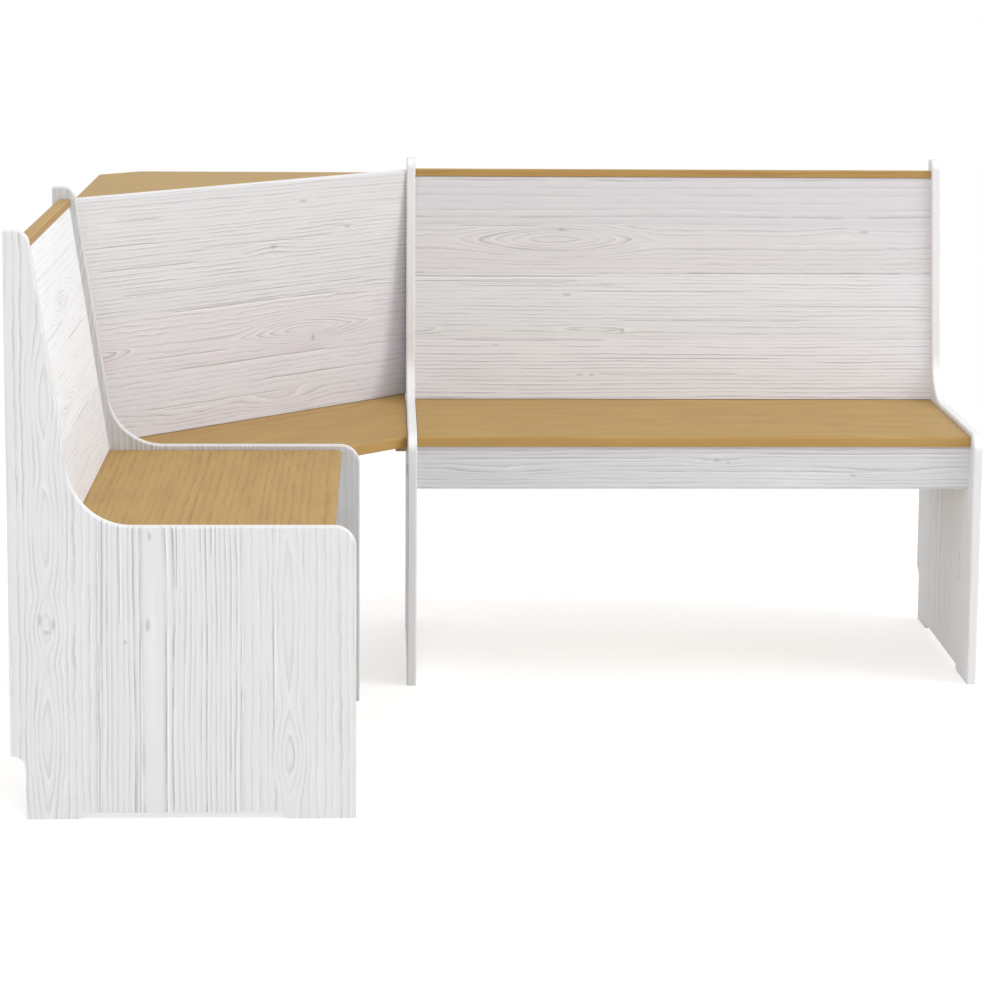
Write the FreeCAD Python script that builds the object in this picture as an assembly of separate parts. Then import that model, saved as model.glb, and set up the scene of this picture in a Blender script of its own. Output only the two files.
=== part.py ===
import FreeCAD, Part
import math
import os

from FreeCAD import Vector

# A corner bench of solid pine. Four like side panels carry a long seat along the back wall, a
# short seat along the left wall and a diagonal seat in the corner between them. All sizes are in
# millimetres. The origin is on the floor, at the middle of the whole bench's plan.

# Overall plan
overall_length = 1556.0
overall_width = 1239.0
corner_size = 580.0

# Side panels: an S-shaped outline, cut from one glued board
panel_thickness = 16.0
panel_height = 860.0
panel_depth = 500.0
panel_top_width = 34.5
panel_top_radius = 20.0
back_lean_deg = 8.6
back_sweep_radius = 90.0
rim_height = 434.0
rim_front_radius = 32.0
panel_arris = 2.2
skirting_notch_depth = 22.0
skirting_notch_height = 95.0
skirting_notch_radius = 20.0
rear_foot_length = 76.0
front_foot_length = 99.5
arch_height = 10.0
arch_bevel = 5.5

# Seats
seat_rim_drop = 8.0
seat_thickness = 18.0
seat_front_setback = 31.0
seat_end_gap = 1.0
seat_arris = 4.5
seat_lower_arris = 2.0

# Backrests and their top strips
backrest_thickness = 18.0
backrest_recess = 11.5
backrest_joint = 1.0
backrest_arris = 6.0
cap_drop = 20.0
cap_thickness = 12.0
cap_overhang = 1.0
cap_end_gap = 0.5
cap_arris = 2.5

# Corner backrest, and the shelf board behind it
corner_backrest_reach = 32.0
corner_backrest_drop = 22.0
corner_backrest_arris = 4.0
shelf_drop = 4.0
shelf_thickness = 12.0
shelf_wall_gap = 30.0
shelf_corner_cut = 67.0
shelf_batten_side = 20.0
shelf_batten_length = 520.0
bracket_thickness = 16.0
bracket_spacing = 200.0
bracket_reach = 200.0
bracket_drop = 160.0
bracket_nose = 20.0

# Aprons and rails under the seats
apron_thickness = 18.0
apron_height = 74.0
apron_setback = 8.0
apron_arris = 2.0
corner_rail_height = 40.0

# Cleats under the seats and behind the backrests
cleat_width = 20.0
cleat_height = 30.0
cleat_end_gap = 5.0
corner_cleat_front_gap = 120.0
back_cleat_width = 30.0
back_cleat_thickness = 15.0
back_cleat_length = 240.0

# Wood screws. What is round and small has flat sides, so that many like pieces stay light.
screw_sides = 6
screw_radius = 2.0
screw_head_radius = 4.0
screw_head_length = 2.4
screw_tip_length = 4.0
screw_bite = 10.0
corner_screw_bite = 14.0
corner_screw_inset = 8.0
shelf_screw_bite = 8.0
cleat_screw_inset = 35.0
seat_screw_inset = 80.0
back_panel_screw_inset = 25.0
back_board_screw_inset = 70.0
corner_screw_end_inset = 60.0
batten_screw_spacing = 230.0
shelf_screw_spacing = 340.0

# Dowels
dowel_sides = 8
dowel_radius = 4.0
dowel_length = 32.0
dowel_panel_depth = 10.0
dowel_chamfer = 1.0
dowel_spacing = 40.0

# Bolts that hold the aprons to the inner panels, with barrel nuts and cover caps
bolt_sides = 8
bolt_radius = 3.0
bolt_head_radius = 6.0
bolt_head_length = 3.0
bolt_apron_depth = 40.0
bolt_hole_clearance = 0.25
bolt_spacing = 32.0
bolt_top_inset = 9.5
barrel_nut_radius = 5.0
barrel_nut_length = 14.0
barrel_nut_inset = 8.0
cover_cap_sides = 20
cover_cap_radius = 9.0
cover_cap_rim = 0.7
cover_cap_rise = 2.2

# How near two points are that count as one, when an edge is looked for
matching_distance = 0.01

# Places worked out from the sizes above
left_wall = -overall_length / 2
back_wall = overall_width / 2
run_length = {"long": overall_length, "short": overall_width}
lean = math.radians(back_lean_deg)
bench_start = corner_size + panel_thickness
seat_top = rim_height - seat_rim_drop
seat_underside = seat_top - seat_thickness
seat_front = panel_depth - seat_front_setback
apron_bottom = seat_underside - apron_height
apron_front = seat_front - apron_setback
apron_back = apron_front - apron_thickness
backrest_bottom = seat_top + backrest_joint
cap_top = panel_height - cap_drop
backrest_top = cap_top - cap_thickness
corner_backrest_top = panel_height - corner_backrest_drop
corner_front_line = corner_size + corner_backrest_reach
corner_rear_line = corner_front_line - backrest_thickness * math.sqrt(2)
shelf_top = corner_backrest_top - shelf_drop
shelf_underside = shelf_top - shelf_thickness


def panel_slope(height):
    """How far the panels' sloping edge stands out from the wall at a height."""
    return panel_top_width + (panel_height - height) * math.tan(lean)


def backrest_front(height):
    """How far the backrest's front face stands out from the wall at a height."""
    return panel_slope(height) - backrest_recess


def behind_backrest(height, depth):
    """How far from the wall a point is that lies depth behind the backrest's front face."""
    return backrest_front(height) - depth / math.cos(lean)


seat_back = behind_backrest(seat_top, backrest_thickness)
rail_front = seat_back + apron_thickness
cleat_start = rail_front + cleat_end_gap
cleat_end = apron_back - cleat_end_gap
corner_cleat_start = corner_backrest_reach + cleat_width + cleat_end_gap
corner_cleat_end = seat_front - corner_cleat_front_gap
cleat_bottom = seat_underside - cleat_height
back_cleat_bottom = (backrest_bottom + backrest_top - back_cleat_length) / 2
back_cleat_top = back_cleat_bottom + back_cleat_length
apron_middle = apron_front - apron_thickness / 2


# Places in space. A run is a stretch of bench along one wall, counted from the walls' corner.


def wall_point(run, along, out, height):
    """A point by its distance along a run, out from its wall, and above the floor."""
    if run == "long":
        return Vector(left_wall + along, back_wall - out, height)
    return Vector(left_wall + out, back_wall - along, height)


def wall_direction(run, along, out, height):
    """A direction in the terms of wall_point."""
    return wall_point(run, along, out, height) - wall_point(run, 0, 0, 0)


def plan_point(from_left, from_back, height):
    """A point by its distances from the left wall and the back wall."""
    return Vector(left_wall + from_left, back_wall - from_back, height)


def corner_point(side, depth, height):
    """A point by its distance to one side of the corner's middle line, and behind the backrest."""
    from_left = corner_rear_line / 2 + (side - depth) / math.sqrt(2)
    from_back = corner_rear_line / 2 - (side + depth) / math.sqrt(2)
    return plan_point(from_left, from_back, height)


# Ways of making a board


def rounded_path(corners, to_space):
    """Lines through (x, y, radius) corners, joined by tangent arcs. Both ends stay sharp."""
    entry = Vector(corners[0][0], corners[0][1], 0)
    edges = []
    for (x, y, radius), following in zip(corners[1:], corners[2:] + [None]):
        corner = Vector(x, y, 0)
        if radius == 0 or following is None:
            edges.append(Part.LineSegment(to_space(entry), to_space(corner)).toShape())
            entry = corner
            continue
        backward = (entry - corner).normalize()
        forward = (Vector(following[0], following[1], 0) - corner).normalize()
        half_angle = backward.getAngle(forward) / 2
        start = corner + backward * (radius / math.tan(half_angle))
        end = corner + forward * (radius / math.tan(half_angle))
        bulge = radius / math.sin(half_angle) - radius
        middle = corner + (backward + forward).normalize() * bulge
        edges.append(Part.LineSegment(to_space(entry), to_space(start)).toShape())
        edges.append(Part.Arc(to_space(start), to_space(middle), to_space(end)).toShape())
        entry = end
    return edges


def closed_face(corners, to_space):
    """A flat face inside (x, y, radius) corners, of which the first is sharp."""
    return Part.Face(Part.Wire(rounded_path(corners + corners[:1], to_space)))


def board_along(run, section, start, end):
    """A board along a run, with an (out, height, radius) section."""
    face = closed_face(section, lambda point: wall_point(run, start, point.x, point.y))
    return face.extrude(wall_direction(run, end - start, 0, 0))


def board_in_plan(outline, bottom, top):
    """A board that lies or stands flat, with a (from left, from back, radius) outline."""
    face = closed_face(outline, lambda point: plan_point(point.x, point.y, bottom))
    return face.extrude(Vector(0, 0, top - bottom))


def block_along(run, start, end, out_start, out_end, bottom, top, radius=0):
    """A square-edged board along a run. A radius rounds its two lower edges."""
    section = [
        (out_start, top, 0),
        (out_start, bottom, radius),
        (out_end, bottom, radius),
        (out_end, top, 0),
    ]
    return board_along(run, section, start, end)


def edges_at(solid, middles):
    """Those of the solid's edges whose middles are given."""
    found = []
    for edge in solid.Edges:
        if any((edge.CenterOfMass - middle).Length < matching_distance for middle in middles):
            found.append(edge)
    return found


def turned(profile, sides, base, direction):
    """A flat-sided turned piece: (radius, distance) points about a line from base along direction."""
    up = Vector(0, 0, 1)
    turns = [2 * math.pi * side / sides for side in range(sides)]
    rays = [Vector(math.cos(turn), math.sin(turn), 0) for turn in turns]
    faces = []
    for ray, next_ray in zip(rays, rays[1:] + rays[:1]):
        for (radius, distance), (next_radius, next_distance) in zip(profile, profile[1:]):
            corners = [ray * radius + up * distance]
            if radius > 0:
                corners.append(next_ray * radius + up * distance)
            if next_radius > 0:
                corners.append(next_ray * next_radius + up * next_distance)
            corners.append(ray * next_radius + up * next_distance)
            faces.append(Part.Face(Part.makePolygon(corners + corners[:1])))
    skin = Part.Compound(faces)
    skin.sewShape()
    piece = Part.Solid(skin.Shells[0]).removeSplitter()
    piece.Placement = FreeCAD.Placement(base, FreeCAD.Rotation(up, direction))
    return piece


# Side panels


def side_panel(run, start):
    """One upright side panel, square to the wall. Its top, slope, rim and front have their arrises off."""

    def to_space(point):
        return wall_point(run, start, point.x, point.y)

    seen_edges = rounded_path([
        (0, panel_height, 0),
        (panel_top_width, panel_height, panel_top_radius),
        (panel_slope(rim_height), rim_height, back_sweep_radius),
        (panel_depth, rim_height, rim_front_radius),
        (panel_depth, 0, 0),
    ], to_space)
    rear_foot_end = skirting_notch_depth + rear_foot_length
    front_foot_start = panel_depth - front_foot_length
    plain_edges = rounded_path([
        (panel_depth, 0, 0),
        (front_foot_start, 0, 0),
        (front_foot_start - arch_bevel, arch_height, 0),
        (rear_foot_end + arch_bevel, arch_height, 0),
        (rear_foot_end, 0, 0),
        (skirting_notch_depth, 0, 0),
        (skirting_notch_depth, skirting_notch_height, skirting_notch_radius),
        (0, skirting_notch_height, 0),
        (0, panel_height, 0),
    ], to_space)
    across = wall_direction(run, panel_thickness, 0, 0)
    blank = Part.Face(Part.Wire(seen_edges + plain_edges)).extrude(across)
    near_middles = [edge.CenterOfMass for edge in seen_edges]
    far_middles = [middle + across for middle in near_middles]
    return blank.makeChamfer(panel_arris, edges_at(blank, near_middles + far_middles))


# Seats, backrests and top strips of the two straight benches


def straight_seat(run, end):
    """A seat board. It runs on under the backrest, which stands on it."""
    section = [
        (seat_back, seat_underside, 0),
        (seat_back, seat_top, 0),
        (seat_front, seat_top, seat_arris),
        (seat_front, seat_underside, seat_lower_arris),
    ]
    return board_along(run, section, bench_start + seat_end_gap, end - seat_end_gap)


def straight_backrest(run, end):
    """A leaning backrest board, cut level at its foot and at its top."""
    section = [
        (behind_backrest(backrest_bottom, backrest_thickness), backrest_bottom, 0),
        (behind_backrest(backrest_top, backrest_thickness), backrest_top, 0),
        (backrest_front(backrest_top), backrest_top, backrest_arris),
        (backrest_front(backrest_bottom), backrest_bottom, 0),
    ]
    return board_along(run, section, bench_start, end)


def top_cap(run, end):
    """The strip on the backrest's top edge."""
    cap_back = behind_backrest(backrest_top, backrest_thickness)
    cap_front = backrest_front(backrest_top) + cap_overhang
    section = [
        (cap_back, backrest_top, 0),
        (cap_back, cap_top, cap_arris),
        (cap_front, cap_top, cap_arris),
        (cap_front, backrest_top, 0),
    ]
    return board_along(run, section, bench_start + cap_end_gap, end - cap_end_gap)


# Cleats of the straight benches


def seat_cleat(run, panel_face, inward):
    """A cleat under a seat's end, against a panel's face. Inward is 1 or -1 along the run."""
    start, end = sorted((panel_face, panel_face + inward * cleat_width))
    return block_along(run, start, end, cleat_start, cleat_end, cleat_bottom, seat_underside)


def backrest_cleat(run, panel_face, inward):
    """A cleat up the back of a backrest's end, against a panel's face."""
    depth = backrest_thickness + back_cleat_thickness
    section = [
        (behind_backrest(back_cleat_bottom, backrest_thickness), back_cleat_bottom, 0),
        (behind_backrest(back_cleat_top, backrest_thickness), back_cleat_top, 0),
        (behind_backrest(back_cleat_top, depth), back_cleat_top, 0),
        (behind_backrest(back_cleat_bottom, depth), back_cleat_bottom, 0),
    ]
    start, end = sorted((panel_face, panel_face + inward * back_cleat_width))
    return board_along(run, section, start, end)


# Corner pieces, which are alike on both sides of the diagonal


def corner_strip(front_line, rear_line, end_gap):
    """The plan of a diagonal board between two lines, cut off at the inner panels' faces."""
    limit = corner_size - end_gap
    return [
        (front_line - limit, limit, 0),
        (limit, front_line - limit, 0),
        (limit, rear_line - limit, 0),
        (rear_line - limit, limit, 0),
    ]


def corner_front_middle(front_line, height):
    """The middle of a diagonal board's front edge."""
    return plan_point(front_line / 2, front_line / 2, height)


def make_corner_seat():
    """The corner seat, whose front edge joins the straight seats' front lines."""
    front_line = corner_size + seat_front
    outline = corner_strip(front_line, corner_rear_line, seat_end_gap)
    blank = board_in_plan(outline, seat_underside, seat_top)
    upper_edge = edges_at(blank, [corner_front_middle(front_line, seat_top)])
    board = blank.makeFillet(seat_arris, upper_edge)
    lower_edge = edges_at(board, [corner_front_middle(front_line, seat_underside)])
    return board.makeFillet(seat_lower_arris, lower_edge)


def make_corner_backrest():
    """The upright board across the corner, mitred against the inner panels."""
    outline = corner_strip(corner_front_line, corner_rear_line, 0)
    blank = board_in_plan(outline, backrest_bottom, corner_backrest_top)
    top_edge = edges_at(blank, [corner_front_middle(corner_front_line, corner_backrest_top)])
    return blank.makeFillet(corner_backrest_arris, top_edge)


def make_corner_rail():
    """The batten under the corner seat's back edge."""
    outline = corner_strip(corner_front_line, corner_rear_line, 0)
    return board_in_plan(outline, seat_underside - corner_rail_height, seat_underside)


def make_corner_shelf():
    """The board behind the corner backrest, clear of both walls and cut off at their corner."""
    tip = corner_rear_line - shelf_wall_gap
    cut_end = shelf_wall_gap + shelf_corner_cut
    outline = [
        (shelf_wall_gap, tip, 0),
        (shelf_wall_gap, cut_end, 0),
        (cut_end, shelf_wall_gap, 0),
        (tip, shelf_wall_gap, 0),
    ]
    return board_in_plan(outline, shelf_underside, shelf_top)


def make_shelf_batten():
    """The batten along the back of the corner backrest, under the shelf."""
    half = shelf_batten_length / 2
    bottom = shelf_underside - shelf_batten_side
    corners = [
        corner_point(-half, 0, bottom),
        corner_point(half, 0, bottom),
        corner_point(half, shelf_batten_side, bottom),
        corner_point(-half, shelf_batten_side, bottom),
    ]
    face = Part.Face(Part.makePolygon(corners + corners[:1]))
    return face.extrude(Vector(0, 0, shelf_batten_side))


def shelf_bracket(side):
    """A three-cornered bracket under the shelf, notched over the batten."""
    start = side - bracket_thickness / 2
    batten_bottom = shelf_underside - shelf_batten_side
    profile = [
        (0, batten_bottom, 0),
        (shelf_batten_side, batten_bottom, 0),
        (shelf_batten_side, shelf_underside, 0),
        (bracket_reach, shelf_underside, 0),
        (bracket_reach, shelf_underside - bracket_nose, 0),
        (0, shelf_underside - bracket_drop, 0),
    ]
    face = closed_face(profile, lambda point: corner_point(start, point.x, point.y))
    return face.extrude(corner_point(bracket_thickness, 0, 0) - corner_point(0, 0, 0))


def corner_cleat(run):
    """A cleat under the corner seat, on the corner side of an inner panel."""
    start = corner_size - cleat_width
    return block_along(
        run, start, corner_size, corner_cleat_start, corner_cleat_end, cleat_bottom, seat_underside
    )


# Fasteners


def wood_screw(length, base, direction):
    """A countersunk wood screw, its head's top at base."""
    profile = [
        (0, 0),
        (screw_head_radius, 0),
        (screw_radius, screw_head_length),
        (screw_radius, length - screw_tip_length),
        (0, length),
    ]
    return turned(profile, screw_sides, base, direction)


def dowel(base, direction):
    """A wooden dowel with chamfered ends."""
    shoulder = dowel_radius - dowel_chamfer
    profile = [
        (0, 0),
        (shoulder, 0),
        (dowel_radius, dowel_chamfer),
        (dowel_radius, dowel_length - dowel_chamfer),
        (shoulder, dowel_length),
        (0, dowel_length),
    ]
    return turned(profile, dowel_sides, base, direction)


def bolt(base, direction, clearance):
    """A flat-headed bolt, its head's top at base. With a clearance it is the bolt's hole."""
    length = panel_thickness + bolt_apron_depth + clearance
    profile = [
        (0, 0),
        (bolt_head_radius + clearance, 0),
        (bolt_head_radius + clearance, bolt_head_length),
        (bolt_radius + clearance, bolt_head_length),
        (bolt_radius + clearance, length),
        (0, length),
    ]
    return turned(profile, bolt_sides, base, direction)


def barrel_nut(base, direction):
    """A round cross nut, from one end at base. Its thread's hole is cut by the bolt."""
    profile = [
        (0, 0),
        (barrel_nut_radius, 0),
        (barrel_nut_radius, barrel_nut_length),
        (0, barrel_nut_length),
    ]
    return turned(profile, bolt_sides, base, direction)


def cover_cap(base, direction):
    """A low domed cap with a thin rim."""
    dome = cover_cap_rise - cover_cap_rim
    profile = [(0, 0), (cover_cap_radius, 0)]
    for share in (1, 5 / 6, 1 / 2):
        profile.append((cover_cap_radius * share, cover_cap_rim + dome * (1 - share ** 2)))
    profile.append((0, cover_cap_rise))
    return turned(profile, cover_cap_sides, base, direction)


def along_points(start, end, inset):
    """Two places, each an inset from one end of a stretch."""
    return (start + inset, end - inset)


def seat_cleat_screws(run, panel_face, inward, out_start, out_end):
    """The screws through a seat cleat: two into the panel, and two up into the seat."""
    middle_height = seat_underside - cleat_height / 2
    into_panel = []
    for out in along_points(out_start, out_end, cleat_screw_inset):
        base = wall_point(run, panel_face + inward * cleat_width, out, middle_height)
        direction = wall_direction(run, -inward, 0, 0)
        into_panel.append(wood_screw(cleat_width + screw_bite, base, direction))
    into_seat = []
    for out in along_points(out_start, out_end, seat_screw_inset):
        base = wall_point(run, panel_face + inward * cleat_width / 2, out, cleat_bottom)
        into_seat.append(wood_screw(cleat_height + screw_bite, base, Vector(0, 0, 1)))
    return into_panel, into_seat


def backrest_cleat_screws(run, panel_face, inward):
    """The screws through a backrest cleat: two into the panel, and two into the backrest."""
    middle_depth = backrest_thickness + back_cleat_thickness / 2
    into_panel = []
    for height in along_points(back_cleat_bottom, back_cleat_top, back_panel_screw_inset):
        out = behind_backrest(height, middle_depth)
        base = wall_point(run, panel_face + inward * back_cleat_width, out, height)
        direction = wall_direction(run, -inward, 0, 0)
        into_panel.append(wood_screw(back_cleat_width + screw_bite, base, direction))
    into_backrest = []
    for height in along_points(back_cleat_bottom, back_cleat_top, back_board_screw_inset):
        out = behind_backrest(height, backrest_thickness + back_cleat_thickness)
        base = wall_point(run, panel_face + inward * back_cleat_width / 2, out, height)
        direction = wall_direction(run, 0, math.cos(lean), math.sin(lean))
        into_backrest.append(wood_screw(back_cleat_thickness + screw_bite, base, direction))
    return into_panel, into_backrest


def corner_screws_in(run):
    """The screws through an inner panel into the ends of the corner backrest and its rail."""
    bottom, top = along_points(backrest_bottom, corner_backrest_top, corner_screw_end_inset)
    out = corner_backrest_reach - corner_screw_inset
    direction = wall_direction(run, -1, 0, 0)
    found = []
    for height in (seat_underside - corner_rail_height / 2, bottom, (bottom + top) / 2, top):
        base = wall_point(run, bench_start, out, height)
        found.append(wood_screw(panel_thickness + corner_screw_bite, base, direction))
    return found


def batten_screws():
    """The screws through the shelf's batten: three into the backrest, and two up into the shelf."""
    batten_bottom = shelf_underside - shelf_batten_side
    forward = corner_point(0, 0, 0) - corner_point(0, 1, 0)
    found = []
    for side in (-batten_screw_spacing, 0, batten_screw_spacing):
        base = corner_point(side, shelf_batten_side, batten_bottom + shelf_batten_side / 2)
        found.append(wood_screw(shelf_batten_side + screw_bite, base, forward))
    for side in (-shelf_screw_spacing / 2, shelf_screw_spacing / 2):
        base = corner_point(side, shelf_batten_side / 2, batten_bottom)
        found.append(wood_screw(shelf_batten_side + shelf_screw_bite, base, Vector(0, 0, 1)))
    return found


def rail_dowels(run, panel_face, inward, out):
    """Two dowels, one above the other, between a board's end and a panel."""
    middle = seat_underside - apron_height / 2
    found = []
    for height in (middle - dowel_spacing / 2, middle + dowel_spacing / 2):
        base = wall_point(run, panel_face - inward * dowel_panel_depth, out, height)
        found.append(dowel(base, wall_direction(run, inward, 0, 0)))
    return found


pieces = {}
fasteners = {
    "seat_cleat_screws": [],
    "seat_screws": [],
    "backrest_cleat_screws": [],
    "backrest_screws": [],
    "corner_screws": [],
    "shelf_batten_screws": [],
    "dowels": [],
    "apron_bolts": [],
    "apron_barrel_nuts": [],
    "bolt_cover_caps": [],
}
bolt_holes = []

# The two straight benches, each between an inner panel and an end panel

for run, outer_panel in (("long", "right_end_panel"), ("short", "front_end_panel")):
    bench_end = run_length[run] - panel_thickness
    pieces[run + "_inner_panel"] = side_panel(run, corner_size)
    pieces[outer_panel] = side_panel(run, bench_end)
    pieces[run + "_seat"] = straight_seat(run, bench_end)
    pieces[run + "_backrest"] = straight_backrest(run, bench_end)
    pieces[run + "_top_cap"] = top_cap(run, bench_end)
    pieces[run + "_apron"] = block_along(
        run, bench_start, bench_end, apron_back, apron_front, apron_bottom, seat_underside, apron_arris
    )
    pieces[run + "_rear_rail"] = block_along(
        run, bench_start, bench_end, seat_back, rail_front, apron_bottom, seat_underside
    )
    for end_name, panel_face, inward in (("inner", bench_start, 1), ("outer", bench_end, -1)):
        pieces[run + "_seat_" + end_name + "_cleat"] = seat_cleat(run, panel_face, inward)
        pieces[run + "_backrest_" + end_name + "_cleat"] = backrest_cleat(run, panel_face, inward)
        into_panel, into_seat = seat_cleat_screws(run, panel_face, inward, cleat_start, cleat_end)
        fasteners["seat_cleat_screws"] += into_panel
        fasteners["seat_screws"] += into_seat
        into_panel, into_backrest = backrest_cleat_screws(run, panel_face, inward)
        fasteners["backrest_cleat_screws"] += into_panel
        fasteners["backrest_screws"] += into_backrest
        fasteners["dowels"] += rail_dowels(run, panel_face, inward, seat_back + apron_thickness / 2)
    fasteners["dowels"] += rail_dowels(run, bench_end, -1, apron_middle)
    for height in (seat_underside - bolt_top_inset, seat_underside - bolt_top_inset - bolt_spacing):
        base = wall_point(run, corner_size, apron_middle, height)
        nut_base = wall_point(run, bench_start + bolt_apron_depth - barrel_nut_inset, apron_back, height)
        new_bolt = bolt(base, wall_direction(run, 1, 0, 0), 0)
        new_nut = barrel_nut(nut_base, wall_direction(run, 0, 1, 0))
        fasteners["apron_bolts"].append(new_bolt)
        fasteners["apron_barrel_nuts"].append(new_nut.cut(new_bolt))
        fasteners["bolt_cover_caps"].append(cover_cap(base, wall_direction(run, -1, 0, 0)))
        bolt_holes.append(bolt(base, wall_direction(run, 1, 0, 0), bolt_hole_clearance))

# The corner between the two inner panels

pieces["corner_seat"] = make_corner_seat()
pieces["corner_backrest"] = make_corner_backrest()
pieces["corner_rear_rail"] = make_corner_rail()
pieces["corner_shelf"] = make_corner_shelf()
pieces["corner_shelf_batten"] = make_shelf_batten()
pieces["corner_shelf_left_bracket"] = shelf_bracket(-bracket_spacing / 2)
pieces["corner_shelf_right_bracket"] = shelf_bracket(bracket_spacing / 2)
for run, cleat_name in (("long", "corner_seat_right_cleat"), ("short", "corner_seat_left_cleat")):
    pieces[cleat_name] = corner_cleat(run)
    into_panel, into_seat = seat_cleat_screws(run, corner_size, -1, corner_cleat_start, corner_cleat_end)
    fasteners["seat_cleat_screws"] += into_panel
    fasteners["seat_screws"] += into_seat
    fasteners["corner_screws"] += corner_screws_in(run)
fasteners["shelf_batten_screws"] += batten_screws()

# Holes for the fasteners, cut in every piece that one passes through

hole_shapes = list(bolt_holes)
for name, group in fasteners.items():
    if name not in ("apron_bolts", "bolt_cover_caps"):
        hole_shapes += group
for name, piece in pieces.items():
    crossing = [hole for hole in hole_shapes if hole.BoundBox.intersect(piece.BoundBox)]
    if crossing:
        pieces[name] = piece.cut(crossing)

# One STEP file for each piece, and one for each group of like fasteners

os.makedirs("parts", exist_ok=True)
for name, piece in pieces.items():
    Part.makeCompound(piece.Solids).exportStep("parts/" + name + ".step")
for name, group in fasteners.items():
    solids = [solid for fastener in group for solid in fastener.Solids]
    Part.makeCompound(solids).exportStep("parts/" + name + ".step")
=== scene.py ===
import math
from collections import namedtuple

import bmesh
import bpy
from mathutils import Matrix, Vector


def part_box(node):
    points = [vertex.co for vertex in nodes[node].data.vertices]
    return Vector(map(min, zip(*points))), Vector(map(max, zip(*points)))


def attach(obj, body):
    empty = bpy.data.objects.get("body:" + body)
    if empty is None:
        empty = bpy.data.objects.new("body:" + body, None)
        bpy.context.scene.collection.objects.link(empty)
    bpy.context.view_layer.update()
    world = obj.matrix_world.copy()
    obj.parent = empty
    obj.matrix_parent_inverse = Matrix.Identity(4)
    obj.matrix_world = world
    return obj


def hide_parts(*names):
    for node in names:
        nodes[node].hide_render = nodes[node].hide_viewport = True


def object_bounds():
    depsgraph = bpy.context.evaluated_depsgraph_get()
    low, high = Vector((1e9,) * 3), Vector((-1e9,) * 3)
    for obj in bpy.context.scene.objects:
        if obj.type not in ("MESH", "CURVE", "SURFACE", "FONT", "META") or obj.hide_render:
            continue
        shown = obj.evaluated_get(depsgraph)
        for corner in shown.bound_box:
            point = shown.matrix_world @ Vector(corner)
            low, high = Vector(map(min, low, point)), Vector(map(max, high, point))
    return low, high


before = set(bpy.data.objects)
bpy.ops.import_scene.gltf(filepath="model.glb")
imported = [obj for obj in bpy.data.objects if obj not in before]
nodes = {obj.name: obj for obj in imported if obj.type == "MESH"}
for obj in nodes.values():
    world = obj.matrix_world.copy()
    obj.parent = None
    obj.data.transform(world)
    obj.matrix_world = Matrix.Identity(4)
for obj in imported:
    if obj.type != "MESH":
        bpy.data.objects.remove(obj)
cad_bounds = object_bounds()

# Side panels. Four like boards, each glued up from three staves of pine, sawn to an S-shaped
# outline and brushed, so that the grain stands out in relief. A thin pale whitewash covers
# them, and a painted highlight lies along the arrises that face up.


class Shade:
    """One output socket of a material's nodes. Arithmetic on values adds Math nodes."""

    # The sockets of a Mix node that mixes colours
    mix_share = 0
    mix_first = 6
    mix_second = 7
    mix_result = 2

    def __init__(self, tree, socket):
        self.tree = tree
        self.socket = socket

    def node(self, kind, settings, inputs, output=0):
        """Adds a node: its settings first, then the values or links of its sockets."""
        made = self.tree.nodes.new(kind)
        for name, value in settings.items():
            setattr(made, name, value)
        for name, value in inputs.items():
            if isinstance(value, Shade):
                self.tree.links.new(value.socket, made.inputs[name])
            else:
                made.inputs[name].default_value = value
        return Shade(self.tree, made.outputs[output])

    def maths(self, operation, *others):
        """This value and up to two others, worked on by a Math node."""
        return self.node("ShaderNodeMath", {"operation": operation}, dict(enumerate((self, *others))))

    def __add__(self, other):
        return self.maths("ADD", other)

    __radd__ = __add__

    def __sub__(self, other):
        return self.maths("SUBTRACT", other)

    def __rsub__(self, other):
        return self.maths("MULTIPLY_ADD", -1, other)

    def __mul__(self, other):
        return self.maths("MULTIPLY", other)

    __rmul__ = __mul__

    def __truediv__(self, other):
        return self.maths("DIVIDE", other)

    def __gt__(self, other):
        return self.maths("GREATER_THAN", other)

    def __abs__(self):
        return self.maths("ABSOLUTE")

    def vector(self, operation, *others, output=0):
        """This vector and up to two others, worked on by a Vector Math node."""
        inputs = dict(enumerate((self, *others)))
        return self.node("ShaderNodeVectorMath", {"operation": operation}, inputs, output)

    def step(self, start, end):
        """Rises smoothly from 0 to 1 while the value goes from start to end, either way."""
        limits = {"Value": self, "From Min": start, "From Max": end}
        return self.node("ShaderNodeMapRange", {"interpolation_type": "SMOOTHSTEP"}, limits)

    def between(self, low, high):
        """A value from 0 to 1 spread over low to high."""
        return self.maths("MULTIPLY_ADD", high - low, low)

    def mix(self, first, second):
        """The first colour where this value is 0, and the second where it is 1."""
        sockets = {self.mix_share: self, self.mix_first: first, self.mix_second: second}
        return self.node("ShaderNodeMix", {"data_type": "RGBA"}, sockets, self.mix_result)


# A picture's colours run from 0 to 255, on a curve that starts straight and goes on as a power
picture_full = 255
curve_start = 0.04045
curve_slope = 12.92
curve_lift = 0.055
curve_power = 2.4


def colour(red, green, blue):
    """A colour as a picture shows it, as a shader's socket takes it."""
    channels = []
    for value in (red, green, blue):
        share = value / picture_full
        if share <= curve_start:
            channels.append(share / curve_slope)
        else:
            channels.append(((share + curve_lift) / (1 + curve_lift)) ** curve_power)
    return (*channels, 1.0)


def new_finish(name):
    """A new material, its node tree and its shader."""
    material = bpy.data.materials.new(name)
    material.use_nodes = True
    return material, material.node_tree, material.node_tree.nodes["Principled BSDF"]


# Sizes on a piece are in millimetres, and the scene's are in metres
metre = 1000.0
relief_strength = 0.8


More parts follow.
